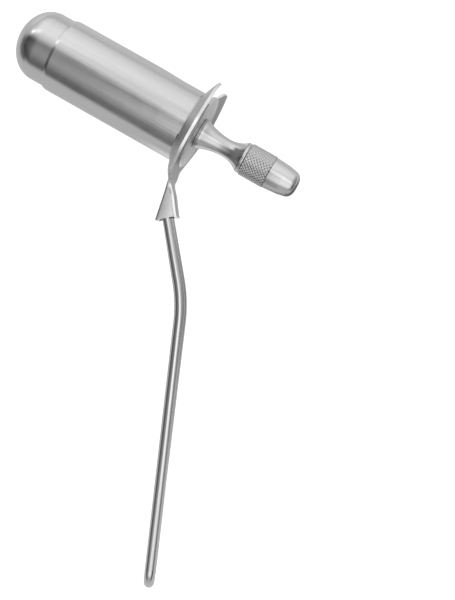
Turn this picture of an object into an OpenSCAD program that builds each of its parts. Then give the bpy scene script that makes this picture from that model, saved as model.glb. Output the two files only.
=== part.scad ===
// Anoscope: a short viewing tube with a dished C-shaped flange and a wire loop handle,
// and the obturator that fills the tube while it is placed.
// The tube lies along X with the knob at +X. The handle hangs towards -Y.
// The origin is on the tube's axis, where the flange meets the tube.

/* [Tube] */
// Outside diameter of the tube
tube_od = 30; // [22:0.5:36]
// Wall thickness of the tube
tube_wall = 0.7; // [0.5:0.05:1]
// Length of tube from the flange to the distal lip
tube_len = 60; // [45:1:90]
// How far the tube's user end stands up inside the flange's dish
tube_lip = 2; // [1.5:0.1:2.4]
// Radial depth of the seat turned on the tube's user end for the flange
seat_step = 0.25; // [0.2:0.01:0.35]

/* [Flange] */
// Outside diameter of the C-shaped flange
flange_od = 46.4; // [44:0.2:56]
// Sheet thickness of the flange and its tongue
flange_sheet = 1; // [0.8:0.05:1.3]
// Slope of the dish, measured from a flat plate
dish_angle = 29; // [20:1:34]
// Half width of the mouth between the wings, at their tips
mouth_tip_half = 13.2; // [11:0.2:15]
// Half width of the mouth where it reaches the tube
mouth_root_half = 9; // [6:0.2:10]
// Radius of the convex end of each wing
wing_end_r = 14; // [11:0.5:20]
// Radial gap, filled with solder, between the flange's hole and the tube's seat
solder_gap = 0.02; // [0.01:0.01:0.05]
// Leg of the solder fillet behind the flange
solder_leg = 1.1; // [0.5:0.1:1.8]

/* [Socket] */
// How far inside the dish's edge the tongue leaves it
neck_inset = 2.2; // [1.2:0.1:3.2]
// Width of the tongue and of the socket
socket_w = 12.8; // [11.8:0.1:16]
// Radius of the hollow corner where the dish's edge turns into the tongue's side
neck_fillet_r = 3.8; // [2:0.2:5]
// Angle of the tongue from the plane of the flange
tongue_angle = 36.2; // [32:0.2:40]
// Length of the tongue from the dish to its lower edge
tongue_len = 15; // [14:0.5:22]
// Angle of the socket's back wall from the plane of the flange
back_angle = 11.5; // [8:0.5:16]
// Length of the socket's back wall
back_len = 17.1; // [15:0.1:24]
// Sheet thickness of the cheeks
cheek_sheet = 0.7; // [0.5:0.05:0.8]
// Sheet thickness of the back wall
back_sheet = 0.8; // [0.6:0.1:1.2]
// Depth of the socket, from its lower edge, that stays free of solder
solder_depth = 7; // [6:0.5:10]

/* [Handle loop] */
// Diameter of the rod that the handle is bent from
rod_d = 4.1; // [3.5:0.05:4.2]
// Half distance between the two legs' centres at the socket's mouth
leg_mouth_half = 3.5; // [3:0.05:3.6]
// Half distance between the legs' centres at the bend
leg_bend_half = 5; // [4:0.1:6]
// Half distance between the legs' centres where they run side by side
loop_half = 7.5; // [6.5:0.1:10]
// Length of each leg that lies inside the socket
leg_inside = 10; // [8:0.5:12]
// Gap between the legs and the socket's walls
leg_gap = 0.04; // [0.02:0.01:0.1]
// Angle of the upper legs from the plane of the flange
upper_angle = 37.9; // [34:0.1:40]
// Length of the upper legs from the socket's mouth to the bend
upper_len = 33.6; // [26:0.1:45]
// Angle of the lower legs from the plane of the flange
lower_angle = 22.9; // [16:0.1:30]
// Length of the lower legs from the bend to the end of the loop
lower_len = 112.5; // [90:0.5:140]
// Length at the loop's end over which the legs run side by side
side_by_side_len = 38; // [30:1:50]
// Centreline radius of the bend between upper and lower legs
bend_r = 60; // [30:1:70]
// Twist of the loop's end about its own length, left by bending it by hand
loop_twist = 4; // [0:0.5:6]

/* [Obturator nose] */
// Radial running clearance between the nose and the tube's bore
nose_gap = 0.1; // [0.05:0.01:0.1]
// Length of the nose's plain cylinder that stands out of the tube
nose_out = 6.3; // [4:0.1:9]
// Height of the elliptical dome
dome_len = 11.4; // [8:0.1:16]
// Length of the nose's skirt inside the tube
skirt_len = 14; // [12:0.5:25]
// Wall thickness of the nose
nose_wall = 0.8; // [0.5:0.1:1.2]
// Thickness of the plate that closes the nose
plug_plate = 2; // [1:0.1:3]
// Diameter of the plug's threaded boss
boss_d = 11; // [9:0.5:14]
// Length of the plug's boss, plate included
boss_len = 8; // [5:0.5:10]

/* [Shaft and grip] */
// Diameter of the shaft between nose and stop disc
shaft_d = 6; // [5:0.1:8]
// Diameter of the stud that carries disc, collar, stem and grip
stud_d = 4; // [3:0.1:4.4]
// Depth of the stud in the grip
stud_depth = 9; // [5:0.5:11]
// Diametral clearance of what is screwed on the stud and into the plug
screw_gap = 0.04; // [0.02:0.01:0.08]
// Radial running clearance of the collar on the stud
collar_gap = 0.05; // [0.02:0.01:0.09]
// Diameter of the stop disc
disc_d = 31; // [30.6:0.1:31.6]
// Thickness of the stop disc
disc_t = 1.6; // [1.2:0.1:2.2]
// Diameter of the collar
collar_d = 12.6; // [11:0.1:14]
// Thickness of the collar
collar_t = 1.2; // [0.8:0.1:1.6]
// Diameter of the stem's waist
waist_d = 7.3; // [6.8:0.1:8.5]
// Distance from the collar to the waist
waist_at = 10.8; // [9:0.1:12]
// Radius of the stem's flare towards the collar
flare_near_r = 24.5; // [22:0.5:30]
// Length of the stem from the collar to the plain ring
stem_len = 18.1; // [17:0.1:20]
// Radius of the stem's flare towards the grip
flare_far_r = 11.5; // [10:0.5:15]
// Diameter of the plain ring
ring_d = 12.7; // [12:0.1:13]
// Width of the plain ring
ring_w = 1.6; // [1:0.1:2.5]
// Diameter of the knurled band
knurl_d = 13.6; // [13.2:0.1:15]
// Length of the knurled band
knurl_len = 10.9; // [9:0.1:16]
// Chamfer at each end of the knurled band
knurl_chamfer = 0.3; // [0.1:0.05:0.4]
// Diameter of the plain tip where it leaves the knurled band
tip_base_d = 13.1; // [12.5:0.1:13.2]
// Diameter of the plain tip at its rounded end
tip_end_d = 11.2; // [10:0.1:12.4]
// Length of the plain tip
tip_len = 12.1; // [9:0.1:15]
// Radius of the tip's rounded corner
tip_round = 3; // [2:0.1:4]

/* [Hidden] */
$fn = 96;

// Tube and flange
tube_r = tube_od / 2;
bore_r = tube_r - tube_wall;
flange_r = flange_od / 2;
seat_r = tube_r - seat_step;
hole_r = seat_r + solder_gap;
neck_r = flange_r - neck_inset;
sheet_x = flange_sheet / cos(dish_angle);
// Axial place of the dish's front surface at a radius
function dish_x(r) = (r - tube_r) * tan(dish_angle);
// Far edge of the solder behind the flange, and the seat's shoulder a little beyond it
solder_x = dish_x(seat_r) - sheet_x - solder_leg;
seat_x = solder_x - 0.5;
// Height above the axis of the edge of the flange at a half width
function rim_y(half) = sqrt(flange_r * flange_r - half * half);
mouth_reach = flange_r + 5;

// Directions in the plane of symmetry: along a plate that leaves the flange's plane at an
// angle, and square to it towards the knob
function along(angle) = [sin(angle), -cos(angle)];
function across(angle) = [cos(angle), sin(angle)];

// Socket
tongue_dir = along(tongue_angle);
tongue_out = across(tongue_angle);
tongue_top = [dish_x(neck_r), -neck_r];
tongue_end = tongue_top + tongue_len * tongue_dir;
apex = tongue_top - flange_sheet * tongue_out;
front_foot = tongue_end - flange_sheet * tongue_out;
back_dir = along(back_angle);
back_in = across(back_angle);
back_foot = apex + back_len * back_dir;
socket_half = socket_w / 2;
hollow_half = socket_half - cheek_sheet;
hollow_apex_shift = back_sheet / sin(tongue_angle - back_angle);
hollow_apex = apex + hollow_apex_shift * tongue_dir;
// Room beyond the part's edges for cuts that run right through
past = 6;
// Centre of the neck's hollow corner, seen along the axis: it touches the dish's round edge
// and the tongue's side
neck_corner_z = socket_half + neck_fillet_r;
neck_corner_y = sqrt(pow(flange_r + neck_fillet_r, 2) - pow(neck_corner_z, 2));
neck_touch = [neck_corner_z, neck_corner_y] * flange_r / (flange_r + neck_fillet_r);

// Handle loop
rod_r = rod_d / 2;
leg_offset = flange_sheet + leg_gap + rod_r;
leg_mouth = tongue_end - leg_offset * tongue_out;
leg_top = leg_mouth - leg_inside * along(upper_angle);
bend_at = leg_mouth + upper_len * along(upper_angle);
loop_end = bend_at + lower_len * along(lower_angle);
loop_out = across(lower_angle);
// A point of a leg from its place in the plane of symmetry, its distance from that plane and
// its turn about the loop's length
function leg_point(place, half, turn) = [
    place[0] + half * sin(turn) * loop_out[0],
    place[1] + half * sin(turn) * loop_out[1],
    half * cos(turn)];
parallel_at = loop_end - side_by_side_len * along(lower_angle);
mouth_slope = (leg_bend_half - leg_mouth_half) / upper_len;
top_half = leg_mouth_half - mouth_slope * leg_inside;
parallel_twist = loop_twist * (lower_len - side_by_side_len) / lower_len;
function leg_half_path(side) = [
    leg_point(leg_top, side * top_half, 0),
    leg_point(bend_at, side * leg_bend_half, 0),
    leg_point(parallel_at, side * loop_half, parallel_twist),
    leg_point(loop_end, side * loop_half, loop_twist)];
near_leg = leg_half_path(1);
far_leg = leg_half_path(-1);
rod_path = [near_leg[0], near_leg[1], near_leg[2], near_leg[3],
    far_leg[3], far_leg[2], far_leg[1], far_leg[0]];
// Straight stretch left between the two quarter turns at the loop's end
end_stretch = 0.2;
loop_r = loop_half - end_stretch / 2;
rod_radii = [0, bend_r, bend_r, loop_r, loop_r, bend_r, bend_r, 0];
rod_sides = 24;
arc_step = 5;

// Obturator
nose_r = bore_r - nose_gap;
nose_inner_r = nose_r - nose_wall;
lip_x = -tube_len;
nose_back_x = lip_x + skirt_len;
dome_base_x = lip_x - nose_out;
dome_step = 5;
plug_r = nose_inner_r - screw_gap / 2;
shaft_r = shaft_d / 2;
stud_r = stud_d / 2;
stud_hole_r = stud_r + screw_gap / 2;
disc_back_x = tube_lip;
disc_face_x = disc_back_x + disc_t;
collar_face_x = disc_face_x + collar_t;
ring_x = collar_face_x + stem_len;
grip_x = ring_x + ring_w;
tip_x = grip_x + knurl_len;
end_x = tip_x + tip_len;
waist_x = collar_face_x + waist_at;
// Radius of the stem at a place along the axis: two hollow arcs that meet at the waist
function flare(r, run) = r - sqrt(r * r - run * run);
function stem_r(x) = waist_d / 2
    + (x < waist_x ? flare(flare_near_r, waist_x - x) : flare(flare_far_r, x - waist_x));
stem_steps = 28;
tip_r = tip_base_d / 2;
tip_end_r = tip_end_d / 2;
tip_slope = atan((tip_r - tip_end_r) / (tip_len - tip_round));

// Turns a profile drawn as radius and axial place about the tube's axis
module turned() {
    rotate([0, 90, 0]) rotate_extrude() children();
}

// The gap between the flange's wings, seen along the axis: open at the top, with each side
// hollowed by the round end of a wing
module mouth_outline() {
    tip = [mouth_tip_half, rim_y(mouth_tip_half)];
    root = [mouth_root_half, sqrt(tube_r * tube_r - mouth_root_half * mouth_root_half)];
    chord = norm(tip - root);
    middle = (tip + root) / 2;
    square_out = [tip[1] - root[1], root[0] - tip[0]] / chord;
    centre = middle + square_out * sqrt(wing_end_r * wing_end_r - chord * chord / 4);
    rise = mouth_reach - tip[1];
    difference() {
        polygon([
            [-root[0], 0],
            [root[0], 0],
            root,
            tip,
            tip + [rise / 3, rise],
            [-tip[0] - rise / 3, tip[1] + rise],
            [-tip[0], tip[1]],
            [-root[0], root[1]]]);
        for (side = [-1, 1])
            translate([side * centre[0], centre[1]])
                circle(r = wing_end_r);
    }
}

// The same gap as a solid block to cut with
module mouth_cut() {
    rotate([0, 90, 0])
        translate([0, 0, -past])
            linear_extrude(height = 3 * past)
                mouth_outline();
}

// A flat shape drawn in the plane of symmetry, given a width across it
module across_width(half) {
    translate([0, 0, -half])
        linear_extrude(height = 2 * half)
            children();
}

module speculum_tube() {
    lip = tube_wall / 2;
    color("silver")
        turned()
            union() {
                polygon([
                    [bore_r, -tube_len + lip],
                    [tube_r, -tube_len + lip],
                    [tube_r, seat_x],
                    [seat_r, seat_x],
                    [seat_r, tube_lip],
                    [bore_r, tube_lip]]);
                translate([bore_r + lip, -tube_len + lip])
                    circle(r = lip);
            }
}

// Edge of the dish seen along the axis: round, with hollow corners down to the tongue
module dish_outline() {
    circle(r = flange_r);
    difference() {
        polygon([
            [-neck_touch[0], -neck_touch[1]],
            [neck_touch[0], -neck_touch[1]],
            [socket_half, -neck_corner_y],
            [-socket_half, -neck_corner_y]]);
        for (side = [-1, 1])
            translate([side * neck_corner_z, -neck_corner_y])
                circle(r = neck_fillet_r);
    }
}

module flange() {
    reach = norm([neck_corner_y, socket_half]);
    color("darkgray") {
        difference() {
            intersection() {
                turned()
                    polygon([
                        [hole_r, dish_x(hole_r) - sheet_x],
                        [reach, dish_x(reach) - sheet_x],
                        [reach, dish_x(reach)],
                        [hole_r, dish_x(hole_r)]]);
                rotate([0, 90, 0])
                    translate([0, 0, -past])
                        linear_extrude(height = 4 * past)
                            dish_outline();
            }
            mouth_cut();
            across_width(socket_half)
                socket_outline();
        }
        tongue();
    }
}

// The tongue is a flat plate that carries on from the dish and fronts the socket
module tongue() {
    overlap = 1.2;
    top_front = tongue_top - overlap * tongue_dir;
    across_width(socket_half)
        polygon([
            top_front,
            tongue_end,
            front_foot,
            top_front - flange_sheet * tongue_out]);
}

module tube_solder() {
    color("lightgray")
        difference() {
            turned()
                polygon([
                    [seat_r, solder_x],
                    [seat_r + solder_leg, dish_x(seat_r + solder_leg) - sheet_x],
                    [seat_r, dish_x(seat_r) - sheet_x]]);
            mouth_cut();
        }
}

// The wedge behind the tongue that the socket fills
module socket_outline() {
    polygon([apex, front_foot, back_foot]);
}

// The wedge inside the socket, drawn past its open foot
module hollow_outline() {
    polygon([
        hollow_apex,
        front_foot + past * tongue_dir,
        back_foot + back_sheet * back_in + past * back_dir]);
}

module socket_shell() {
    color("silver")
        difference() {
            across_width(socket_half)
                socket_outline();
            across_width(hollow_half)
                hollow_outline();
        }
}

// Everything on the outer side of the socket's back wall, with room to spare
module behind_back_wall(gap) {
    start = apex + (back_sheet + gap) * back_in - past * back_dir;
    length = back_len + 2 * past;
    across_width(socket_w)
        polygon([
            start,
            start + length * back_dir,
            start + length * back_dir - 2 * past * back_in,
            start - 2 * past * back_in]);
}

function unit(v) = v / norm(v);
function turn_between(u, v) = acos(max(-1, min(1, u * v)));

// Points of the arc that rounds a corner of a path
function corner_arc(before, corner, after, r) =
    let (
        u = unit(corner - before),
        v = unit(after - corner),
        turn = turn_between(u, v),
        inward = cross(unit(cross(u, v)), u),
        centre = corner - u * r * tan(turn / 2) + inward * r,
        steps = max(2, ceil(turn / arc_step)))
    [for (k = [0:steps])
        centre + r * (sin(turn * k / steps) * u - cos(turn * k / steps) * inward)];
function rounded_path(path, radii) = concat(
    [path[0]],
    [for (i = [1:len(path) - 2]) each corner_arc(path[i - 1], path[i], path[i + 1], radii[i])],
    [path[len(path) - 1]]);

// Direction of a path at one of its points, halfway between the stretches that meet there
function path_direction(points, i) =
    i == 0 ? unit(points[1] - points[0])
    : i == len(points) - 1 ? unit(points[i] - points[i - 1])
    : unit(unit(points[i] - points[i - 1]) + unit(points[i + 1] - points[i]));
function rod_ring(centre, direction) =
    let (side = unit(cross(direction, [loop_out[0], loop_out[1], 0])), up = cross(side, direction))
    [for (k = [0:rod_sides - 1])
        centre + rod_r * (cos(360 * k / rod_sides) * side + sin(360 * k / rod_sides) * up)];

// A straight stretch of rod between two points
module straight_rod(start, finish) {
    run = finish - start;
    translate(start)
        rotate([0, acos(run[2] / norm(run)), atan2(run[1], run[0])])
            cylinder(h = norm(run), r = rod_r);
}

// One rod along a line of points
module rod_along(points) {
    last = len(points) - 1;
    rings = [for (i = [0:last]) each rod_ring(points[i], path_direction(points, i))];
    sides = [for (i = [0:last - 1])
        for (k = [0:rod_sides - 1])
            let (
                here = i * rod_sides + k,
                next = i * rod_sides + (k + 1) % rod_sides)
            each [
                [here, next, next + rod_sides],
                [here, next + rod_sides, here + rod_sides]]];
    ends = [
        [for (k = [rod_sides - 1:-1:0]) k],
        [for (k = [0:rod_sides - 1]) last * rod_sides + k]];
    polyhedron(points = rings, faces = concat(sides, ends), convexity = 6);
}

module handle_loop() {
    color("gray")
        difference() {
            rod_along(rounded_path(rod_path, rod_radii));
            behind_back_wall(leg_gap);
        }
}

// Solder that fills the upper end of the socket round the rod's two ends
module rod_solder() {
    level = front_foot - solder_depth * tongue_dir;
    color("lightgray")
        difference() {
            across_width(hollow_half)
                polygon([
                    hollow_apex,
                    level,
                    level - 2 * past * tongue_out,
                    hollow_apex - 2 * past * tongue_out]);
            behind_back_wall(0);
            for (side = [-1, 1])
                straight_rod(
                    leg_point(leg_top, side * top_half, 0),
                    leg_point(bend_at, side * leg_bend_half, 0));
        }
}

// Half section of the nose: a skirt and an elliptical dome, less a wall's thickness inside
module obturator_nose() {
    outer = [for (a = [0:dome_step:90]) [nose_r * cos(a), dome_base_x - dome_len * sin(a)]];
    inner = [for (a = [90:-dome_step:0])
        [nose_inner_r * cos(a), dome_base_x - (dome_len - nose_wall) * sin(a)]];
    color("silver")
        turned()
            polygon(concat(
                [[nose_r, nose_back_x]],
                outer,
                inner,
                [[nose_inner_r, nose_back_x]]));
}

module nose_plug() {
    face_x = nose_back_x - plug_plate;
    color("darkgray")
        turned()
            polygon([
                [shaft_r + screw_gap / 2, nose_back_x],
                [plug_r, nose_back_x],
                [plug_r, face_x],
                [boss_d / 2, face_x],
                [boss_d / 2, nose_back_x - boss_len],
                [shaft_r + screw_gap / 2, nose_back_x - boss_len]]);
}

module obturator_shaft() {
    color("silver")
        turned()
            polygon([
                [0, nose_back_x - boss_len],
                [shaft_r, nose_back_x - boss_len],
                [shaft_r, disc_back_x],
                [stud_r, disc_back_x],
                [stud_r, grip_x + stud_depth],
                [0, grip_x + stud_depth]]);
}

module stop_disc() {
    edge = disc_t / 4;
    color("gainsboro")
        turned()
            polygon([
                [stud_hole_r, disc_back_x],
                [disc_d / 2, disc_back_x],
                [disc_d / 2, disc_face_x - edge],
                [disc_d / 2 - edge, disc_face_x],
                [stud_hole_r, disc_face_x]]);
}

module stem_collar() {
    color("darkgray")
        turned()
            translate([stud_r + collar_gap, disc_face_x])
                square([collar_d / 2 - stud_r - collar_gap, collar_t]);
}

module grip_stem() {
    profile = [for (i = [0:stem_steps])
        let (x = collar_face_x + stem_len * i / stem_steps) [min(stem_r(x), ring_d / 2), x]];
    color("silver")
        turned()
            polygon(concat(
                [[stud_hole_r, collar_face_x]],
                profile,
                [[ring_d / 2, ring_x], [ring_d / 2, grip_x], [stud_hole_r, grip_x]]));
}

// The grip: knurled band with a chamfer at each end, then the plain tapering tip
module knurled_grip() {
    band_r = knurl_d / 2;
    color("silver")
        turned()
            difference() {
                union() {
                    polygon([
                        [0, grip_x],
                        [band_r - knurl_chamfer, grip_x],
                        [band_r, grip_x + knurl_chamfer],
                        [band_r, tip_x - knurl_chamfer],
                        [band_r - knurl_chamfer, tip_x],
                        [0, tip_x]]);
                    polygon(concat(
                        [[0, tip_x], [tip_r, tip_x]],
                        [for (a = [tip_slope:(90 - tip_slope) / 6:90.01])
                            [tip_end_r - tip_round + tip_round * cos(a),
                                end_x - tip_round + tip_round * sin(a)]],
                        [[0, end_x]]));
                }
                translate([0, grip_x - past])
                    square([stud_hole_r, past + stud_depth + screw_gap]);
            }
}

speculum_tube();
flange();
tube_solder();
socket_shell();
handle_loop();
rod_solder();
obturator_nose();
nose_plug();
obturator_shaft();
stop_disc();
stem_collar();
grip_stem();
knurled_grip();
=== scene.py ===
# A steel anoscope: a short viewing tube with a dished flange and a wire loop handle, and the
# dome-nosed obturator that slides out of it by a knurled grip. The tube lies along X with the
# grip at +X, and the handle hangs towards -Y. The sections follow the order of assembly. Sizes
# and places are in metres.

from math import acos, atan2, cos, hypot, pi, radians, sin, sqrt, tan

import bmesh
import bpy
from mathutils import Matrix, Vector


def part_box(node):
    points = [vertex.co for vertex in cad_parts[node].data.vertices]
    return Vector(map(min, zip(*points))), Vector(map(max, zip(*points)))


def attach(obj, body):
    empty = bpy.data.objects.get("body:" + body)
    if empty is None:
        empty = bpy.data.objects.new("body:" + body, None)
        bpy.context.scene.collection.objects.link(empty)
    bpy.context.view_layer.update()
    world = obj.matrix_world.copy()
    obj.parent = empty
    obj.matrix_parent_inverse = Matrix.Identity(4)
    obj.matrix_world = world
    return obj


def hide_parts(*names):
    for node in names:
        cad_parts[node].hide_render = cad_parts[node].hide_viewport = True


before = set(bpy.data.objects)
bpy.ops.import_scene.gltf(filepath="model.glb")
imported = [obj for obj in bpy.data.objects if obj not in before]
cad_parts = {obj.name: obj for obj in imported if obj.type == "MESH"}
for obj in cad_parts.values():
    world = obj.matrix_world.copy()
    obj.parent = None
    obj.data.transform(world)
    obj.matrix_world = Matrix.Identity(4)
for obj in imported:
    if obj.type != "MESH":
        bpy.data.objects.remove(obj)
bpy.ops.object.select_all(action="DESELECT")
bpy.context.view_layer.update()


# The photograph's view
# The camera stands almost square to the plane of tube and handle, a little towards the grip,
# and is turned so that the tube falls away to the right.

camera_place = (0.06376, -0.03113, 0.42069)
camera_turn = (radians(-1.232), radians(3.537), radians(29.589))

bpy.ops.object.camera_add(location=camera_place, rotation=camera_turn)
camera = bpy.context.object
camera.name = "camera"
camera.data.sensor_width = 36
camera.data.lens = 64
camera.data.clip_start = 0.01
camera.data.clip_end = 10
bpy.context.scene.camera = camera
bpy.context.scene.view_settings.view_transform = "Standard"


# The white table
# The instrument lies on its side and touches the table at three places: the flange's edge, the
# tube's distal lip and the end of the loop. The table is plain white to the eye, but the steel
# mirrors it with softly uneven light, which is painted light and painted shade in soft patches
# on the table. Seen from below, it isn't there.

def cad_size(node):
    """Where a CAD node starts and ends along X, and how far it reaches towards Z. Its sizes are
    whole hundredths of a millimetre, so rounding takes away what its facets lose."""
    low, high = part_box(node)
    return round(low.x, 5), round(high.x, 5), round(max(-low.z, high.z), 5)


def add_node(tree, kind, settings=None, **links):
    """Adds a shader node, sets its properties, and links or sets its inputs by name or number."""
    made = tree.nodes.new(kind)
    for key, value in (settings or {}).items():
        setattr(made, key, value)
    for key, value in links.items():
        name = int(key[1:]) if key[1:].isdigit() else key.replace("_", " ")
        socket = made.inputs[name]
        if isinstance(value, bpy.types.NodeSocket):
            tree.links.new(value, socket)
        else:
            socket.default_value = value
    return made


def linear(hex_colour):
    """A linear colour from an sRGB hex value."""
    parts = [int(hex_colour[i:i + 2], 16) / 255 for i in (1, 3, 5)]
    return tuple(c / 12.92 if c <= 0.04045 else ((c + 0.055) / 1.055) ** 2.4 for c in parts) + (1.0,)


def new_material(name):
    """An empty material, with its node tree and output."""
    made = bpy.data.materials.new(name)
    made.use_nodes = True
    made.node_tree.nodes.clear()
    return made, made.node_tree, add_node(made.node_tree, "ShaderNodeOutputMaterial")


def patch(tree, middle, turn, reach_x, reach_y, core):
    """1 in the core of a soft oval patch on the piece, falling to 0 at its rim."""
    place = add_node(tree, "ShaderNodeTexCoord")
    on_patch = add_node(tree, "ShaderNodeMapping", {"vector_type": "TEXTURE"},
                        Vector=place.outputs["Object"], Location=(*middle, 0),
                        Rotation=(0, 0, radians(turn)), Scale=(reach_x, reach_y, 1))
    away = add_node(tree, "ShaderNodeVectorMath", {"operation": "LENGTH"}, _0=on_patch.outputs[0])
    return add_node(tree, "ShaderNodeMapRange", {"interpolation_type": "SMOOTHSTEP"},
                    _0=away.outputs["Value"], _1=core, _2=1.0, _3=1.0, _4=0.0).outputs[0]


tube_distal_end, tube_user_end, tube_r = cad_size("speculum_tube")
flange_r = cad_size("flange")[2]
flange_rest = Vector((0.0045, 0, -flange_r))
lip_rest = Vector((tube_distal_end, 0, -tube_r))
loop_rest = Vector((0.0730, -0.1610, -0.0098))
table_gap = 0.0001
table_radius = 1.2
table_mirrored = 0.47
table_darkest = 0.22
table_grey = 0.216

# Painted light and painted shade on the table, which the steel mirrors: middle, turn in degrees,
# reach along and across, the share of that reach which is even, and the change of brightness
painted_table_light_and_shade = (
    # Beyond the grip, and on both sides of the handle
    ((0.095, -0.015), 0, 0.095, 0.060, 0.25, -0.80),
    ((0.018, -0.105), -67, 0.085, 0.022, 0.25, -0.35),
    ((0.080, -0.090), -67, 0.085, 0.022, 0.25, -0.50),
    # Far beyond the dome, and far below the tube
    ((-0.621, -0.272), 26, 0.575, 0.150, 0.92, -0.75),
    ((-0.750, -0.330), 26, 0.450, 0.400, 0.55, -0.75),
    ((-0.250, -0.720), 0, 0.550, 0.600, 0.75, -0.50),
    # Beyond the dome's upper side, and above the tube
    ((-0.195, 0.078), -27, 0.130, 0.050, 0.40, 0.40),
    ((-0.030, 0.085), 0, 0.100, 0.045, 0.25, 0.14),
    # Below the flange, and under the stop disc
    ((0.000, -0.034), 0, 0.030, 0.024, 0.25, 0.60),
    ((0.011, 0.004), 0, 0.016, 0.028, 0.40, -0.24),
    # Beside the tube's distal end, and behind the wings
    ((-0.080, 0.045), 0, 0.050, 0.035, 0.25, 0.12),
    ((-0.014, 0.024), 0, 0.018, 0.016, 0.25, 1.50))

table_up = (lip_rest - flange_rest).cross(loop_rest - flange_rest).normalized()
if table_up.z < 0:
    table_up = -table_up
bpy.ops.mesh.primitive_circle_add(
    vertices=96, radius=table_radius, fill_type="NGON",
    location=flange_rest - table_gap * table_up,
    rotation=Vector((0, 0, 1)).rotation_difference(table_up).to_euler())
table = bpy.context.object
table.name = "white_table"

# Matt white paint, which takes the instrument's soft shadow and stays white round it. Its grey
# and its glow for the steel carry the patches' painted light and painted shade.
table_paint, tree, out = new_material("matt_white_table")
light_path = add_node(tree, "ShaderNodeLightPath")
seen = add_node(tree, "ShaderNodeMath", {"operation": "MAXIMUM"},
                _0=light_path.outputs["Is Camera Ray"], _1=light_path.outputs["Is Transmission Ray"])
bright = 1.0
# The patches paint light and shade into the table's brightness, which sets both its glow for the steel
# and its grey
for *oval, change in painted_table_light_and_shade:
    bright = add_node(tree, "ShaderNodeMath", {"operation": "MULTIPLY_ADD"},
                      _0=patch(tree, *oval), _1=change, _2=bright).outputs[0]
bright = add_node(tree, "ShaderNodeMath", {"operation": "MAXIMUM"},
                  _0=bright, _1=table_darkest).outputs[0]
mirrored = add_node(tree, "ShaderNodeMath", {"operation": "MULTIPLY"},
                    _0=bright, _1=table_mirrored)
glow = add_node(tree, "ShaderNodeMath", {"operation": "MULTIPLY_ADD"},
                _0=light_path.outputs["Is Glossy Ray"], _1=mirrored.outputs[0], _2=seen.outputs[0])
white = add_node(tree, "ShaderNodeEmission", Color=linear("#FFFFFF"), Strength=glow.outputs[0])
grey = add_node(tree, "ShaderNodeMath", {"operation": "MULTIPLY"}, _0=bright, _1=table_grey)
paint = add_node(tree, "ShaderNodeBsdfDiffuse", Color=grey.outputs[0])
both = add_node(tree, "ShaderNodeAddShader", _0=white.outputs[0], _1=paint.outputs[0])
clear = add_node(tree, "ShaderNodeBsdfTransparent")
facing = add_node(tree, "ShaderNodeNewGeometry")
shown = add_node(tree, "ShaderNodeMixShader", _0=facing.outputs["Backfacing"],
                 _1=both.outputs[0], _2=clear.outputs[0])
tree.links.new(shown.outputs[0], out.inputs["Surface"])
table.data.materials.append(table_paint)


# Studio light
# A pale room with a broad bright side over the tube and a dimmer one under it, a soft box, a dark
# screen and a narrow light strip, and two soft lamps. The camera itself sees plain white.

def level_by(tree, value, low, high, stops):
    """Brightness that follows a value, through (value, brightness) stops from low to high."""
    where = add_node(tree, "ShaderNodeMapRange", None, _0=value, _1=low, _2=high)
    made = add_node(tree, "ShaderNodeValToRGB", None, Fac=where.outputs[0])
    elements = made.color_ramp.elements
    for at, _ in stops[1:-1]:
        elements.new((at - low) / (high - low))
    for element, (_, level) in zip(elements, stops):
        element.color = (level, level, level, 1)
    return made.outputs["Color"]


def light_zone(tree, around, along):
    """A zone of the room: its brightness by the angle about the tube's axis, in degrees from
    straight above (+Z) towards +Y, times that by the way along it, from the dome's end to the
    knob's."""
    place = add_node(tree, "ShaderNodeTexCoord")
    split = add_node(tree, "ShaderNodeSeparateXYZ", Vector=place.outputs["Generated"])
    angle = add_node(tree, "ShaderNodeMath", {"operation": "ARCTAN2"},
                     _0=split.outputs["Y"], _1=split.outputs["Z"])
    in_degrees = add_node(tree, "ShaderNodeMath", {"operation": "MULTIPLY"},
                          _0=angle.outputs[0], _1=180 / pi)
    by_angle = level_by(tree, in_degrees.outputs[0], -180, 180, around)
    by_way = level_by(tree, split.outputs["X"], -1, 1, along)
    return add_node(tree, "ShaderNodeMath", {"operation": "MULTIPLY"},
                    _0=by_angle, _1=by_way).outputs[0]


def add_lamp(name, toward, distance, size, power):
    """A square soft lamp that shines at the middle of the instrument. The steel doesn't mirror
    it, because a lamp's hard image would leave streaks."""
    middle = Vector((0.005, -0.06, 0))
    spot = middle + Vector(toward).normalized() * distance
    bpy.ops.object.light_add(type="AREA", location=spot,
                             rotation=(spot - middle).to_track_quat("Z", "Y").to_euler())
    lamp = bpy.context.object
    lamp.name = name
    lamp.data.size = size
    lamp.data.energy = power
    lamp.visible_glossy = False


box_adds = 0.78
screen_takes = 0.70
strip_adds = 4.5

studio = bpy.data.worlds.new("studio")
bpy.context.scene.world = studio
studio.use_nodes = True
tree = studio.node_tree
tree.nodes.clear()
out = add_node(tree, "ShaderNodeOutputWorld")
room = light_zone(
    tree,
    [(-180, 0.60), (-112, 0.52), (-97, 0.42), (-88, 0.20), (-75, 0.17), (-62, 0.24), (-50, 0.40),
     (-36, 0.52), (-18, 0.46), (-8, 0.34), (-1, 0.40), (4, 0.68), (10, 0.86), (18, 0.90),
     (27, 0.92), (38, 1.06), (52, 1.10), (70, 1.02), (90, 0.85), (112, 0.78), (180, 0.60)],
    [(-1, 0.60), (-0.85, 0.78), (-0.62, 1.15), (-0.40, 1.15), (-0.15, 1.02), (0.35, 1.0),
     (0.60, 0.62), (0.80, 0.38), (1, 0.28)])
# A soft box above the handle, for the light side of stem, grip and rods
box = light_zone(
    tree,
    [(-180, 0), (-102, 0), (-82, 0.6), (-60, 0.3), (-38, 1), (10, 1), (26, 0), (180, 0)],
    [(-1, 0), (-0.06, 0), (0.10, 1), (0.77, 1), (0.91, 0), (1, 0)])
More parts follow.
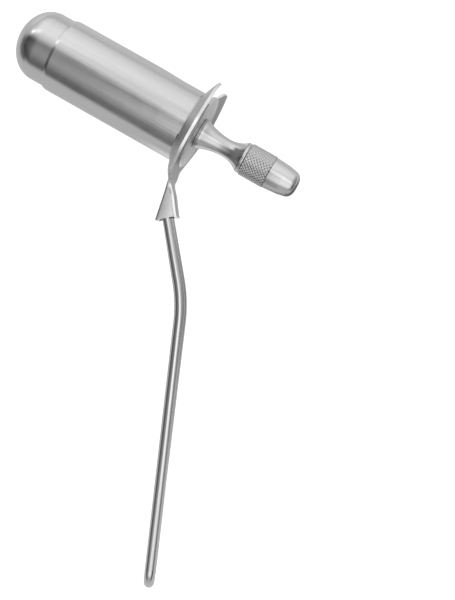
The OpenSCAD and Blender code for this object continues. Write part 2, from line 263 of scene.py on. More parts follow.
# A dark screen below and behind the dome, for the dark band across it
screen = light_zone(
    tree,
    [(-180, 0), (-120, 0), (-95, 1), (2, 1), (21, 0), (180, 0)],
    [(-1, 1), (-0.55, 0.92), (-0.45, 0.70), (-0.33, 0.42), (-0.15, 0), (1, 0)])
# A narrow strip light, for the glint on the dome
strip = light_zone(
    tree,
    [(-180, 0), (24, 0), (30, 1), (34, 1), (40, 0), (180, 0)],
    [(-1, 0), (-0.95, 0), (-0.89, 1), (-0.83, 0.3), (-0.5, 0.1), (-0.25, 0), (1, 0)])
held_back = add_node(tree, "ShaderNodeMath", {"operation": "MULTIPLY_ADD"},
                     _0=screen, _1=-screen_takes, _2=1.0)
dimmed = add_node(tree, "ShaderNodeMath", {"operation": "MULTIPLY"},
                  _0=room, _1=held_back.outputs[0])
with_box = add_node(tree, "ShaderNodeMath", {"operation": "MULTIPLY_ADD"},
                    _0=box, _1=box_adds, _2=dimmed.outputs[0])
lit = add_node(tree, "ShaderNodeMath", {"operation": "MULTIPLY_ADD"},
               _0=strip, _1=strip_adds, _2=with_box.outputs[0])
rays = add_node(tree, "ShaderNodeLightPath")
level = add_node(tree, "ShaderNodeMix", {"data_type": "FLOAT"},
                 _0=rays.outputs["Is Camera Ray"], _2=lit.outputs[0], _3=1.0)
sky = add_node(tree, "ShaderNodeBackground", Color=linear("#FFFFFF"), Strength=level.outputs[0])
tree.links.new(sky.outputs[0], out.inputs["Surface"])

add_lamp("key_lamp", toward=(-0.2, 0.75, 0.65), distance=0.9, size=0.5, power=0.8)
add_lamp("fill_lamp", toward=(0.1, -0.1, 1.0), distance=1.0, size=0.25, power=0.2)


# Speculum tube
# A thin stainless steel tube, drawn and polished, with its distal lip rolled in. Its user end
# stands up inside the flange's dish, on a seat turned for it, where it is soldered.

tube_wall = 0.0007
bore_r = tube_r - tube_wall
seat_r = tube_r - 0.00025
seat_x = -0.0016
lip_roll = 0.0012
streak_squeeze = 0.04
smooth_angle = radians(35)
merge_gap = 1e-7


def select_alone(piece):
    """Selects one object and makes it the active one."""
    bpy.ops.object.select_all(action="DESELECT")
    piece.select_set(True)
    bpy.context.view_layer.objects.active = piece


def new_piece(name, data):
    """An object for a mesh or a curve, in the scene and selected."""
    made = bpy.data.objects.new(name, data)
    bpy.context.scene.collection.objects.link(made)
    select_alone(made)
    return made


def rounded(corners, steps=6):
    """A line of points with rounded corners: each corner is its place and the size of its round."""
    points = []
    for i, corner in enumerate(corners):
        here, size = Vector(corner[:-1]), corner[-1]
        if size == 0:
            points.append(here)
            continue
        to_last = (Vector(corners[i - 1][:-1]) - here).normalized()
        to_next = (Vector(corners[(i + 1) % len(corners)][:-1]) - here).normalized()
        half = acos(max(-1.0, min(1.0, to_last.dot(to_next)))) / 2
        centre = here + (to_last + to_next).normalized() * (size / sin(half))
        first = here + to_last * (size / tan(half)) - centre
        last = here + to_next * (size / tan(half)) - centre
        sweep = pi - 2 * half
        for k in range(steps + 1):
            t = k / steps
            points.append(centre + (sin((1 - t) * sweep) * first + sin(t * sweep) * last) / sin(sweep))
    return [tuple(p) for p in points]


def turn_on_lathe(name, profile, closed=True, sweep=2 * pi, start=0.0, steps=160):
    """A piece turned about the tube's axis from a profile of (x, radius) points."""
    links = [(i, i + 1) for i in range(len(profile) - 1)]
    if closed:
        links.append((len(profile) - 1, 0))
    mesh = bpy.data.meshes.new(name)
    mesh.from_pydata([(x, r * cos(start), r * sin(start)) for x, r in profile], links, [])
    made = new_piece(name, mesh)
    bpy.ops.object.mode_set(mode="EDIT")
    bpy.ops.mesh.select_all(action="SELECT")
    bpy.ops.mesh.spin(steps=steps, angle=sweep, center=(0, 0, 0), axis=(1, 0, 0))
    bpy.ops.mesh.select_all(action="SELECT")
    bpy.ops.mesh.remove_doubles(threshold=merge_gap)
    if closed:
        bpy.ops.mesh.fill_holes(sides=0)
    bpy.ops.mesh.normals_make_consistent(inside=False)
    bpy.ops.object.mode_set(mode="OBJECT")
    bpy.ops.object.shade_smooth_by_angle(angle=smooth_angle)
    return made


def long_place(tree):
    """Place on the piece, squeezed along the tube, for streaks that run along it."""
    place = add_node(tree, "ShaderNodeTexCoord")
    return add_node(tree, "ShaderNodeMapping", None, Vector=place.outputs["Object"],
                    Scale=(streak_squeeze, 1, 1)).outputs[0]


def satin_steel(name, colour, roughness, place_of, grain_mm, grain_depth, patch_mm,
                wave_depth=0.000002, stretch=0.0, radial=False):
    """Stainless steel. The grain left by its polishing lightens, dulls and dents it a little, and
    slow patches change its gloss and carry its waves. Real grain is some hundredths of a
    millimetre, so each grain_mm is several times as coarse, to show."""
    noise_low, noise_high = 0.3, 0.7
    made, tree, out = new_material(name)
    grain = add_node(tree, "ShaderNodeTexNoise", None, Vector=place_of(tree),
                     Scale=1000 / grain_mm, Detail=3, Roughness=0.6)
    place = add_node(tree, "ShaderNodeTexCoord")
    patches = add_node(tree, "ShaderNodeTexNoise", None, Vector=place.outputs["Object"],
                       Scale=1000 / patch_mm, Detail=2, Roughness=0.5)
    gloss = add_node(tree, "ShaderNodeMapRange", None, _0=patches.outputs["Fac"],
                     _1=noise_low, _2=noise_high, _3=roughness - 0.04, _4=roughness + 0.05)
    lines = add_node(tree, "ShaderNodeMapRange", None, _0=grain.outputs["Fac"],
                     _1=noise_low, _2=noise_high, _3=-0.03, _4=0.03)
    rough = add_node(tree, "ShaderNodeMath", {"operation": "ADD"},
                     _0=gloss.outputs[0], _1=lines.outputs[0])
    base = linear(colour)
    dark = tuple(c * 0.93 for c in base[:3]) + (1,)
    light = tuple(min(1, c * 1.06) for c in base[:3]) + (1,)
    tint = add_node(tree, "ShaderNodeMix", {"data_type": "RGBA"}, _0=grain.outputs["Fac"],
                    _6=dark, _7=light)
    waves = add_node(tree, "ShaderNodeBump", None, Strength=1.0, Distance=wave_depth,
                     Height=patches.outputs["Fac"])
    bump = add_node(tree, "ShaderNodeBump", None, Strength=1.0, Distance=grain_depth,
                    Height=grain.outputs["Fac"], Normal=waves.outputs[0])
    steel = add_node(tree, "ShaderNodeBsdfPrincipled", None, Base_Color=tint.outputs[2],
                     Metallic=1.0, Roughness=rough.outputs[0], Anisotropic=stretch,
                     Normal=bump.outputs[0])
    if radial:
        tangent = add_node(tree, "ShaderNodeTangent", {"direction_type": "RADIAL", "axis": "X"})
        tree.links.new(tangent.outputs[0], steel.inputs["Tangent"])
        steel.inputs["Anisotropic Rotation"].default_value = 0.25
    tree.links.new(steel.outputs[0], out.inputs["Surface"])
    return made


tube = turn_on_lathe("speculum_tube_polished", rounded([
    (tube_user_end, seat_r, 0.00012),
    (tube_user_end, bore_r, 0.00012),
    (tube_distal_end, bore_r, 0.00015),
    (tube_distal_end, tube_r - 0.45 * tube_wall, 0.00015),
    (tube_distal_end + lip_roll, tube_r, 0.0009),
    (seat_x, tube_r, 0.00003),
    (seat_x, seat_r, 0)]))
# Polished by hand along its length: soft streaks, and slow waves that wander through the shine
tube.data.materials.append(satin_steel(
    "satin_tube_steel", "#CFCFCF", 0.2, long_place, grain_mm=0.9, grain_depth=0.00003,
    patch_mm=11, wave_depth=0.00012, stretch=0.6, radial=True))
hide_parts("speculum_tube")
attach(tube, "speculum")


# Flange
# One steel sheet, dished round the tube and open at the top between two wings. Its lower end
# narrows to a tongue that bends down and is pressed in a little between the handle's two legs.

# The dish, whose slope grows from the tube out to a flatter lip
rim_sheet = 0.0012
edge_round = 0.0005
dish_angle = radians(29)
root_slope = tan(radians(18))
bowl = (tan(dish_angle) - root_slope) / (flange_r - tube_r)
lip_width = 0.0011
lip_slope = tan(radians(13))
hole_r = seat_r + 0.00002

# The wings and the mouth between them, with the wings' reach by the cosine of the angle from +Y
mouth_tip_half = 0.0132
mouth_root_half = 0.0090
wing_end_r = 0.0140
wing_tip_round = 0.0021
near_wing_longer = 0.05
far_wing_longer = 0.085
wing_grows = (0.30, 0.82)

# How the dish was pushed askew by hand, between two heights below the axis
skew_push = 0.0012
skew_tilt = 0.035
skew_begins = (-0.0060, 0.0190)
skew_ends = (0.0165, 0.0225)
skew_from_r = 0.0152

# The neck and the tongue, which is pressed in along its middle and flares at its sides and foot
neck_r = 0.0210
neck_fillet_r = 0.0038
socket_half = cad_size("socket_shell")[2]
tongue_angle = radians(36.2)
tongue_len = 0.0150
tongue_end_y = neck_r + tongue_len * cos(tongue_angle)
tongue_begins = (0.0190, 0.0262)
tongue_sides = (0.0078, 0.0110)
bulge_end = 0.0290
press_begins = (0.0232, 0.0275)
valley_depth = 0.00055
crest_at = 0.0034
side_flare_from = 0.0044
side_flare = 0.00015
foot_flare = 0.00025
foot_flare_len = 0.0009

# How many rows and columns of faces the sheet has, the rows closer together towards the rim
ring_rows = 18
rows_crowd = 1.8
wing_columns = 84
neck_columns = 32
corner_steps = 12
side_steps = 24


def smooth_step(value, low, high):
    """From 0 at low to 1 at high, with a gentle start and end."""
    t = max(0.0, min(1.0, (value - low) / (high - low)))
    return t * t * (3 - 2 * t)


def flange_front(z, y):
    """Place along the tube's axis of the sheet's front surface: the dish and its lip, slightly
    askew, which blend into the plate of the tongue."""
    r = hypot(y, z)
    out = r - tube_r
    skew = (skew_push - skew_tilt * z) * smooth_step(-y, *skew_begins)
    skew *= 1 - smooth_step(-y, *skew_ends)
    inner = min(out, flange_r - lip_width - tube_r)
    dish = (inner * (root_slope + bowl * inner) + (out - inner) * lip_slope
            - skew * smooth_step(r, skew_from_r, flange_r))
    plate = (neck_r - tube_r) * tan(dish_angle) + (-y - neck_r) * tan(tongue_angle)
    aside = abs(z)
    blend = smooth_step(-y, *tongue_begins) * (1 - smooth_step(aside, *tongue_sides))
    valley = valley_depth * (1 + cos(pi * min(1.0, aside / crest_at))) / 2
    side = side_flare * (max(0.0, aside - side_flare_from) / (socket_half - side_flare_from)) ** 2
    pressed = (valley - side) * smooth_step(-y, *press_begins) / cos(tongue_angle)
    flare = foot_flare * smooth_step(-y, tongue_end_y - foot_flare_len, tongue_end_y)
    return dish + blend * (plate - dish) - pressed + flare


def wing_reach(a):
    """How much further out than the CAD's circle the wings reach, by the angle from +Y. They were
    pulled out a little by hand, the far one more than the near one."""
    longer = near_wing_longer if sin(a) > 0 else far_wing_longer
    return longer * smooth_step(cos(a), *wing_grows)


def sheet_of_rows(name, *grids):
    """A mesh through rows of points, from one grid or several that share an edge."""
    points, faces = [], []
    for rows in grids:
        first = len(points)
        wide = len(rows[0])
        for row in rows:
            points.extend(row)
        faces.extend((first + j * wide + i, first + (j + 1) * wide + i,
                      first + (j + 1) * wide + i + 1, first + j * wide + i + 1)
                     for j in range(len(rows) - 1) for i in range(wide - 1))
    mesh = bpy.data.meshes.new(name)
    mesh.from_pydata(points, [], faces)
    made = new_piece(name, mesh)
    bpy.ops.object.mode_set(mode="EDIT")
    bpy.ops.mesh.select_all(action="SELECT")
    bpy.ops.mesh.remove_doubles(threshold=merge_gap)
    bpy.ops.object.mode_set(mode="OBJECT")
    bpy.ops.object.shade_smooth_by_angle(angle=smooth_angle)
    return made


def thicken(piece, thickness, edge):
    """Gives a sheet its thickness, behind its outer side, and rounds its edges. The edges take
    the piece's second material."""
    solid = piece.modifiers.new("thickness", "SOLIDIFY")
    solid.thickness = thickness
    solid.offset = -1
    solid.use_even_offset = True
    solid.material_offset_rim = 1
    bevel = piece.modifiers.new("edges", "BEVEL")
    bevel.width = edge
    bevel.segments = 4
    bevel.limit_method = "ANGLE"
    bevel.angle_limit = radians(50)
    select_alone(piece)
    bpy.ops.object.modifier_apply(modifier="thickness")
    bpy.ops.object.modifier_apply(modifier="edges")
    bpy.ops.object.shade_smooth_by_angle(angle=smooth_angle)


def whole_place(tree):
    """Place on the piece, for grain without a direction."""
    return add_node(tree, "ShaderNodeTexCoord").outputs["Object"]


# Rows of points round the dish, from the tube out to the rim. Each row starts and ends on the
# round end of a wing.
mouth_tip = Vector((mouth_tip_half, sqrt(flange_r ** 2 - mouth_tip_half ** 2)))
mouth_root = Vector((mouth_root_half, sqrt(hole_r ** 2 - mouth_root_half ** 2)))
chord = mouth_tip - mouth_root
wing_centre = ((mouth_tip + mouth_root) / 2 + Vector((chord.y, -chord.x)).normalized()
               * sqrt(wing_end_r ** 2 - chord.length_squared / 4))
root_way = mouth_root - wing_centre
tip_way = mouth_tip - wing_centre
wing_sweep = root_way.angle(tip_way)
neck_corner_z = socket_half + neck_fillet_r
neck_corner_y = sqrt((flange_r + neck_fillet_r) ** 2 - neck_corner_z ** 2)
neck_half_angle = atan2(neck_corner_z, neck_corner_y)
neck_from = pi - neck_half_angle
ring = []
for j in range(ring_rows + 1):
    t = 1 - (1 - j / ring_rows) ** rows_crowd
    swept = sin((1 - t) * wing_sweep) * root_way + sin(t * wing_sweep) * tip_way
    on_end = wing_centre + swept / sin(wing_sweep)
    r, end_angle = on_end.length, atan2(on_end.x, on_end.y)
    to_round = max(0.0, wing_tip_round - (flange_r - r))
    end_angle += (wing_tip_round - sqrt(max(0.0, wing_tip_round ** 2 - to_round ** 2))) / r
    angles = [end_angle + (neck_from - end_angle) * i / wing_columns for i in range(wing_columns)]
    angles += [neck_from + 2 * neck_half_angle * i / neck_columns for i in range(neck_columns + 1)]
    angles += [2 * pi - a for a in reversed(angles[:wing_columns])]
    row = []
    for a in angles:
        far = r * (1 + wing_reach(a) * smooth_step(r, tube_r, flange_r))
        row.append((flange_front(r * sin(a), r * cos(a)), far * cos(a), far * sin(a)))
    ring.append(row)

# Side edge of the neck and tongue: the hollow corner, then straight down. The tongue's rows run
# between its two side edges, the first along the dish's rim.
side_edge = []
for k in range(corner_steps + 1):
    a = (pi / 2 - neck_half_angle) * (1 - k / corner_steps)
    side_edge.append((neck_corner_z - neck_fillet_r * cos(a), neck_corner_y - neck_fillet_r * sin(a)))
for k in range(1, side_steps + 1):
    side_edge.append((socket_half, neck_corner_y + (tongue_end_y - neck_corner_y) * k / side_steps))
neck_top_y = side_edge[0][1]
tongue = []
for edge_z, edge_y in side_edge:
    bulge = (flange_r - neck_top_y) * (1 - smooth_step(edge_y, neck_top_y, bulge_end))
    row = []
    for i in range(neck_columns + 1):
        a = (2 * i / neck_columns - 1) * neck_half_angle
        z = -edge_z * sin(a) / sin(neck_half_angle)
        y = -(edge_y + bulge * (cos(a) - cos(neck_half_angle)) / (1 - cos(neck_half_angle)))
        row.append((flange_front(z, y), y, z))
    tongue.append(row)

flange = sheet_of_rows("flange_blasted", ring, tongue)
# Blasted with fine grit: an even, matt, slightly darker face that mirrors only broad light
flange.data.materials.append(satin_steel(
    "blasted_flange_steel", "#CBCBCB", 0.50, whole_place, grain_mm=0.12, grain_depth=0.000005,
    patch_mm=6))
# The edges of the sheets were ground and buffed afterwards, so they are glossier, and their
# lighter colour is a painted highlight, so that they show as bright lines
edge_steel = satin_steel("buffed_edge_steel_painted_highlight", "#DEDEDE", 0.24, whole_place, grain_mm=0.2,
                         grain_depth=0.000003, patch_mm=4)
flange.data.materials.append(edge_steel)
thicken(flange, rim_sheet, edge_round)
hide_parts("flange")
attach(flange, "speculum")


# Solder ring
# Silver solder, drawn by heat into the corner behind the flange, where it set with a hollow face.
# It follows the tube round to both wings and stops at the mouth between them.

solder_from = (-0.00180, 0.01499)
solder_middle = (-0.00125, 0.01505)
solder_to = (-0.00085, 0.01575)
solder_steps = 8
mouth_half_angle = radians(36.9)

solder_line = [solder_from]
for k in range(1, solder_steps):
    t = k / solder_steps
    solder_line.append(tuple((1 - t) ** 2 * a + 2 * t * (1 - t) * b + t * t * c
                             for a, b, c in zip(solder_from, solder_middle, solder_to)))
solder_line += [solder_to, (-0.00098, seat_r), (solder_from[0], seat_r)]
solder_ring = turn_on_lathe("tube_solder_ring", solder_line, sweep=2 * pi - 2 * mouth_half_angle,
                            start=mouth_half_angle, steps=140)
# Cast, not polished: a faintly warm grey skin with soft ripples
solder_metal = satin_steel("silver_solder", "#B4B3B1", 0.3, whole_place, grain_mm=0.6,
                           grain_depth=0.00003, patch_mm=5)
solder_ring.data.materials.append(solder_metal)
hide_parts("tube_solder")
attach(solder_ring, "speculum")


# Handle socket
# A thinner sheet folded to a U behind the tongue: two cheeks and a back wall, open at the foot
# where the handle's legs leave it.

cheek_sheet = 0.0007
cheek_edge_round = 0.0003
cheek_bow = 0.00035
cheek_half = socket_half - 0.00012
back_len = 0.0171
back_angle = radians(11)
fold_r = 0.0009
socket_top = 0.05
socket_rows = 32
cheek_steps = 10
fold_steps = 6
back_steps = 14


def along(angle):
    """Direction of a plate in the plane of symmetry, by its angle from the flange's plane."""
    return Vector((sin(angle), -cos(angle), 0))


def across(angle):
    """Direction square to that plate, towards the grip."""
    return Vector((cos(angle), sin(angle), 0))


tongue_top = Vector(((neck_r - tube_r) * tan(dish_angle), -neck_r, 0))
tongue_end = tongue_top + tongue_len * along(tongue_angle)
apex = tongue_top - rim_sheet * across(tongue_angle)
front_foot = tongue_end - rim_sheet * across(tongue_angle)
back_foot = apex + back_len * along(back_angle)
to_back = (back_foot - front_foot).normalized()
foot_depth = (back_foot - front_foot).length
socket_sheet = []
for j in range(socket_rows + 1):
    t = socket_top + (1 - socket_top) * j / socket_rows
    depth = t * foot_depth + 0.0001
    front = apex + t * (back_foot - apex) - depth * to_back
    r = min(fold_r, 0.45 * depth)
    half = []
    for i in range(cheek_steps):
        bow = cheek_bow * (depth / foot_depth) ** 2 * (1 - i / cheek_steps) ** 2
        half.append((front + to_back * (depth - r) * i / cheek_steps, cheek_half - bow))
    for k in range(fold_steps + 1):
        a = k * pi / (2 * fold_steps)
        half.append((front + to_back * (depth - r + r * sin(a)), cheek_half - r + r * cos(a)))
    flat = [(front + to_back * depth, (cheek_half - r) * (1 - 2 * i / back_steps))
            for i in range(1, back_steps)]
    row = [(p.x, p.y, -z) for p, z in half + flat]
    row += [(p.x, p.y, z) for p, z in reversed(half)]
    socket_sheet.append(row)
socket_piece = sheet_of_rows("handle_socket_folded", socket_sheet)
# Brushed after folding: a clear satin, lighter than the blasted tongue in front of it
socket_piece.data.materials.append(satin_steel(
    "satin_socket_steel", "#D2D2D2", 0.28, whole_place, grain_mm=0.3, grain_depth=0.000002,
    patch_mm=5))
# The socket's edges take the same lighter steel, whose colour paints their highlight
socket_piece.data.materials.append(edge_steel)
thicken(socket_piece, cheek_sheet, cheek_edge_round)
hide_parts("socket_shell")
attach(socket_piece, "speculum")


# Solder in the socket
# The same silver solder, run in round the ends of the handle's two legs. It stands well inside
# the socket, so the CAD's plain shape stays and only takes the solder's surface.

leg_solder = bpy.data.objects["rod_solder"]
leg_solder.data.materials.clear()
leg_solder.data.materials.append(solder_metal)


# Wire handle
# One polished steel rod bent to a long hairpin. Its legs leave the socket side by side, bend
# back, spread, and meet in a round end that was left twisted a little.

rod_r = 0.00205
flange_sheet = 0.0010
leg_gap = 0.00004
leg_mouth_half = 0.0035
leg_bend_half = 0.0050
loop_half = 0.0075
leg_inside_len = 0.0100
leg_lean = 0.0008
upper_angle = radians(37.9)
upper_len = 0.0336
lower_angle = radians(22.9)
lower_len = 0.1125
side_by_side_len = 0.0380
bend_r = 0.060
loop_end_r = 0.0074
loop_twist = radians(4)
loop_shift = 0.0002
leg_cut = 0.0009
leg_cut_angle = radians(11.5)
lines_turn = radians(-25)
lines_squeeze = 0.05

upper_way = along(upper_angle)
lower_way = along(lower_angle)
loop_out = across(lower_angle)
leg_mouth = tongue_end - (flange_sheet + leg_gap + rod_r) * across(tongue_angle)
leg_inside = leg_mouth - leg_inside_len * upper_way - leg_lean * across(upper_angle)
bend_at = leg_mouth + upper_len * upper_way
loop_end = bend_at + lower_len * lower_way - loop_shift * loop_out
inside_half = leg_mouth_half - (leg_bend_half - leg_mouth_half) / upper_len * leg_inside_len


def leg_point(place, half, twist):
    """A point of a leg: its place in the plane of symmetry, its distance from it, and its twist."""
    return place + half * sin(twist) * loop_out + Vector((0, 0, half * cos(twist)))


legs = []
for hand in (1, -1):
    leg = [(leg_point(leg_inside, hand * inside_half, 0), 0),
           (leg_point(bend_at, hand * leg_bend_half, 0), bend_r),
           (leg_point(loop_end - side_by_side_len * lower_way, hand * loop_half, loop_twist), bend_r),
           (leg_point(loop_end, hand * loop_half, loop_twist), loop_end_r)]
    legs.append([(*p, r) for p, r in leg])
rod_line = rounded(legs[0] + legs[1][::-1], steps=12)

curve = bpy.data.curves.new("handle_loop_rod", "CURVE")
curve.dimensions = "3D"
curve.bevel_depth = rod_r
curve.bevel_resolution = 7
curve.use_fill_caps = True
spline = curve.splines.new("POLY")
spline.points.add(len(rod_line) - 1)
for point, place in zip(spline.points, rod_line):
    point.co = (*place, 1)
new_piece("handle_loop_rod", curve)
bpy.ops.object.convert(target="MESH")
rod = bpy.context.object

# The tops of the legs are cut off along the inside of the socket's back wall
cut_way = across(leg_cut_angle)
bpy.ops.object.mode_set(mode="EDIT")
bpy.ops.mesh.select_all(action="SELECT")
bpy.ops.mesh.remove_doubles(threshold=merge_gap)
bpy.ops.mesh.bisect(plane_co=apex + leg_cut * cut_way, plane_no=cut_way, use_fill=True,
                    clear_inner=True)
bpy.ops.mesh.select_all(action="SELECT")
bpy.ops.mesh.normals_make_consistent(inside=False)
bpy.ops.object.mode_set(mode="OBJECT")
bpy.ops.object.shade_smooth_by_angle(angle=smooth_angle)


def leg_place(tree):
    """Place on the piece, squeezed along the legs, for the fine lines of a drawn rod."""
    place = add_node(tree, "ShaderNodeTexCoord")
    in_line = add_node(tree, "ShaderNodeMapping", None, Vector=place.outputs["Object"],
                       Rotation=(0, 0, lines_turn))
    return add_node(tree, "ShaderNodeMapping", None, Vector=in_line.outputs[0],
                    Scale=(1, lines_squeeze, 1)).outputs[0]


# Drawn and buffed: the glossiest steel here, with sharp dark and light lines along the rod
rod.data.materials.append(satin_steel(
    "drawn_rod_steel", "#D4D4D4", 0.15, leg_place, grain_mm=0.5, grain_depth=0.000003, patch_mm=12))
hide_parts("handle_loop")
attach(rod, "speculum")


# Obturator nose
# A hollow steel shell with an elliptical dome, spun and polished smoother than the tube that it
# fills.

dome_tip, nose_back, nose_r = cad_size("obturator_nose")
nose_wall = 0.0008
nose_break = 0.00012
dome_len = 0.0114
dome_base = dome_tip + dome_len
dome_steps = 30
ring_wander = 0.0006


def turned_place(tree):
    """Place along the axis and distance from it, for the rings that a lathe leaves. It changes
    slowly round the axis, so that no ring is quite even."""
    place = add_node(tree, "ShaderNodeTexCoord")
    split = add_node(tree, "ShaderNodeSeparateXYZ", Vector=place.outputs["Object"])
    flat = add_node(tree, "ShaderNodeCombineXYZ", Y=split.outputs["Y"], Z=split.outputs["Z"])
    out = add_node(tree, "ShaderNodeVectorMath", {"operation": "LENGTH"}, _0=flat.outputs[0])
    around = add_node(tree, "ShaderNodeMath", {"operation": "ARCTAN2"},
                      _0=split.outputs["Y"], _1=split.outputs["Z"])
    slow = add_node(tree, "ShaderNodeMath", {"operation": "MULTIPLY"},
                    _0=around.outputs[0], _1=ring_wander)
    return add_node(tree, "ShaderNodeCombineXYZ", X=split.outputs["X"], Y=out.outputs["Value"],
                    Z=slow.outputs[0]).outputs[0]


def dome_line(length, radius):
    """Quarter of an ellipse, from the dome's base to its tip on the axis."""
    line = []
    for k in range(dome_steps):
        a = k * pi / (2 * dome_steps)
        line.append((dome_base - length * sin(a), radius * cos(a)))
    return line + [(dome_base - length, 0)]


outer = dome_line(dome_len, nose_r)
inner = dome_line(dome_len - nose_wall, nose_r - nose_wall)
nose = turn_on_lathe("obturator_nose_domed", [
    (nose_back, nose_r - nose_break), (nose_back - nose_break, nose_r),
    *outer, *reversed(inner), (nose_back, nose_r - nose_wall)], closed=False)
# Polished on the lathe: fine rings round the dome in an almost even shine
nose.data.materials.append(satin_steel(
    "smooth_nose_steel", "#CDCDCD", 0.2, turned_place, grain_mm=0.3, grain_depth=0.000002,
    patch_mm=9))
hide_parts("obturator_nose")
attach(nose, "obturator")


# Nose plug
# A turned steel plug closes the back of the nose, with a boss that the shaft screws into.

boss_end = cad_size("nose_plug")[0]
plug_r = nose_r - nose_wall - 0.00002
plate_inside = nose_back - 0.0020
boss_r = 0.0055
shaft_start, shaft_end, shaft_r = cad_size("obturator_shaft")
thread_r = shaft_r + 0.00002

plug = turn_on_lathe("nose_plug_turned", rounded([
    (nose_back, thread_r, 0.0002),
    (nose_back, plug_r, 0.0002),
    (plate_inside, plug_r, 0.0001),
    (plate_inside, boss_r, 0.0003),
    (boss_end, boss_r, 0.0003),
    (boss_end, thread_r, 0.0002)]))
# Left as turned: plain grey with the rings of the tool, since nothing of it shows in use
turned_steel = satin_steel("turned_steel", "#C2C2C2", 0.26, turned_place, grain_mm=0.16,
                           grain_depth=0.000006, patch_mm=8, stretch=0.5, radial=True)
plug.data.materials.append(turned_steel)
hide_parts("nose_plug")
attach(plug, "obturator")


# Obturator shaft
# One turned steel rod from the nose plug to the grip, thinner where disc, collar and stem sit on
# it. It screws into the plug and into the grip, and has the plug's surface.

disc_back, disc_face, disc_r = cad_size("stop_disc")
stud_r = 0.0020
stud_hole_r = stud_r + 0.00002

shaft = turn_on_lathe("obturator_shaft_turned", rounded([
    (shaft_start, 0, 0),
    (shaft_start, shaft_r, 0.0003),
    (disc_back, shaft_r, 0.0001),
    (disc_back, stud_r, 0.0001),
    (shaft_end, stud_r, 0.0003),
    (shaft_end, 0, 0)]), closed=False)
shaft.data.materials.append(turned_steel)
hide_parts("obturator_shaft")
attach(shaft, "obturator")


# Stop disc
# A flat steel disc that seats in the flange's dish. Its face was finished on a lathe and its edge
# is chamfered.

disc_chamfer = 0.0004
disc_chamfer_x = 0.00035

disc = turn_on_lathe("stop_disc_turned", rounded([
    (disc_back, stud_hole_r, 0.0001),
    (disc_back, disc_r, 0.0002),
    (disc_face - disc_chamfer_x, disc_r, 0.00012),
    (disc_face, disc_r - disc_chamfer, 0.00012),
    (disc_face, stud_hole_r, 0.0001)]))
# Faced on a lathe: fine rings that draw its shine out to the two sides of the stem
disc.data.materials.append(satin_steel(
    "disc_steel", "#D8D8D8", 0.24, turned_place, grain_mm=0.22, grain_depth=0.000004,
    patch_mm=10, stretch=0.6, radial=True))
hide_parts("stop_disc")
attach(disc, "obturator")


# Stem collar
# A small steel ring, with a groove turned round its middle, held between disc and stem on the
# shaft's stud. It only slides, while the rest of the obturator can also turn.

collar_face, collar_r = cad_size("stem_collar")[1:]
collar_hole_r = stud_r + 0.00005
collar_end_r = collar_r - 0.0003
groove_r = collar_r - 0.0002

collar = turn_on_lathe("stem_collar_turned", rounded([
    (disc_face, collar_hole_r, 0),
    (disc_face, collar_end_r, 0.00005),
    (disc_face + 0.00015, collar_r, 0.0001),
    (disc_face + 0.00045, collar_r, 0.00005),
    (disc_face + 0.00060, groove_r, 0.00005),
    (disc_face + 0.00075, collar_r, 0.00005),
    (collar_face - 0.00012, collar_r, 0.0001),
    (collar_face, collar_end_r, 0.00005),
    (collar_face, collar_hole_r, 0)]))
# Turned: a darker grey than disc and stem, so that it shows as a darker line between them
collar.data.materials.append(satin_steel(
    "collar_steel", "#BEBEBE", 0.24, turned_place, grain_mm=0.2, grain_depth=0.000005, patch_mm=6))
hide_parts("stem_collar")
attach(collar, "slider")


# Grip stem
# A waisted steel stem like the bell of a trumpet at both ends, turned in one with a plain ring
# next to the grip.

grip_x, ring_r = cad_size("grip_stem")[1:]
waist_r = 0.00365
waist_x = collar_face + 0.0108
stem_len = 0.0181
ring_x = collar_face + stem_len
wide_flare_r = 0.0245
narrow_flare_r = 0.0115
stem_steps = 40

stem_line = []
for k in range(stem_steps + 1):
    x = collar_face + stem_len * k / stem_steps
    run = x - waist_x
    flare_r = wide_flare_r if run < 0 else narrow_flare_r
    stem_line.append((x, waist_r + flare_r - sqrt(flare_r ** 2 - run ** 2)))
# The wide end's edge is broken by a small chamfer
stem_line[0] = (collar_face, stem_line[0][1] - 0.00015)
stem_line[1] = (collar_face + 0.00015, stem_line[1][1] + 0.00005)
stem = turn_on_lathe("grip_stem_turned", [(collar_face, stud_hole_r)] + stem_line + rounded([
    (ring_x, ring_r - 0.00045, 0),
    (ring_x + 0.0001, ring_r, 0.0004),
    (grip_x, ring_r, 0.0005),
    (grip_x, stud_hole_r, 0)]))
# Buffed on the lathe: bright, with clear dark bands where it mirrors the table
stem.data.materials.append(satin_steel(
    "stem_steel", "#CBCBCB", 0.19, turned_place, grain_mm=0.22, grain_depth=0.000003, patch_mm=7))
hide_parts("grip_stem")
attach(stem, "obturator")


# Knurled grip
# A steel grip, screwed onto the shaft: a band of diamond knurling, chamfered at both ends, and a
# plain tip that tapers to a rounded end.

grip_end, knurl_r = cad_size("knurled_grip")[1:]
band_end = grip_x + 0.0109
band_edge = 0.0003
band_chamfer = 0.0004
band_chamfer_x = 0.00005
knurl_depth = 0.00022
knurl_columns = 56
knurl_rows = 14
grip_face_r = 0.0060
grip_smooth_angle = radians(28)


def ring_of(x, r, bite=0.0, row=0):
    """One ring of points about the axis. With a bite, every other point is cut in by it."""
    points = []
    for i in range(knurl_columns + 1):
        reach = r - bite * ((i + row) % 2)
        a = 2 * pi * (i % knurl_columns) / knurl_columns
        points.append((x, reach * cos(a), -reach * sin(a)))
    return points


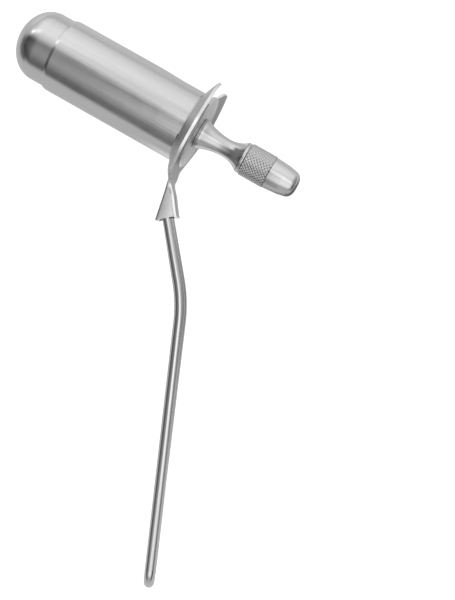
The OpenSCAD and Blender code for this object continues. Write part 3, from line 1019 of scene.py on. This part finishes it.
# The knurl's diamonds are about half as large again as real ones, so that they show
cut_low = grip_x + band_edge
cut_high = band_end - band_edge
grip_rows = [ring_of(grip_x, 0), ring_of(grip_x, grip_face_r)]
grip_rows.append(ring_of(grip_x + band_chamfer_x, knurl_r - band_chamfer))
for j in range(knurl_rows + 1):
    x = cut_low + (band_end - grip_x - 2 * band_edge) * j / knurl_rows
    grip_rows.append(ring_of(x, knurl_r, knurl_depth, j))
grip_rows.append(ring_of(band_end - band_chamfer_x, knurl_r - band_chamfer))
tip_line = rounded([
    (band_end, 0.0061, 0),
    (band_end + 0.00005, 0.00655, 0.0001),
    (band_end + 0.0060, 0.0061, 0.0120),
    (grip_end - 0.0011, 0.0051, 0.0034),
    (grip_end, 0.0023, 0.0040),
    (grip_end, 0, 0)], steps=10)
grip_rows += [ring_of(x, r) for x, r in tip_line]
grip = sheet_of_rows("knurled_grip_cut", grip_rows)

# The diamonds' faces are split along the grooves, so that their edges are crisp
bpy.ops.object.mode_set(mode="EDIT")
cut_mesh = bmesh.from_edit_mesh(grip.data)
diamonds = [f for f in cut_mesh.faces if cut_low < f.calc_center_median().x < cut_high]
for face in diamonds:
    face.material_index = 1
    low_points = [v for v in face.verts if hypot(v.co.y, v.co.z) < knurl_r - knurl_depth / 2]
    if len(low_points) == 2:
        bmesh.ops.connect_verts(cut_mesh, verts=low_points)
bmesh.update_edit_mesh(grip.data)
bpy.ops.object.mode_set(mode="OBJECT")
bpy.ops.object.shade_smooth_by_angle(angle=grip_smooth_angle)
# The tip is polished on the lathe and shines, with a dark end where it rounds off
grip.data.materials.append(satin_steel(
    "grip_steel", "#D2D2D2", 0.22, turned_place, grain_mm=0.22, grain_depth=0.000003, patch_mm=7))
# The knurl is left as rolled and duller, and its darker colour is painted shade of the grooves,
# so that it reads as an even grey texture
grip.data.materials.append(satin_steel(
    "knurled_steel_painted_groove_shade", "#BEBEBE", 0.30, whole_place, grain_mm=0.3, grain_depth=0.000003, patch_mm=4))
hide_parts("knurled_grip")
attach(grip, "obturator")
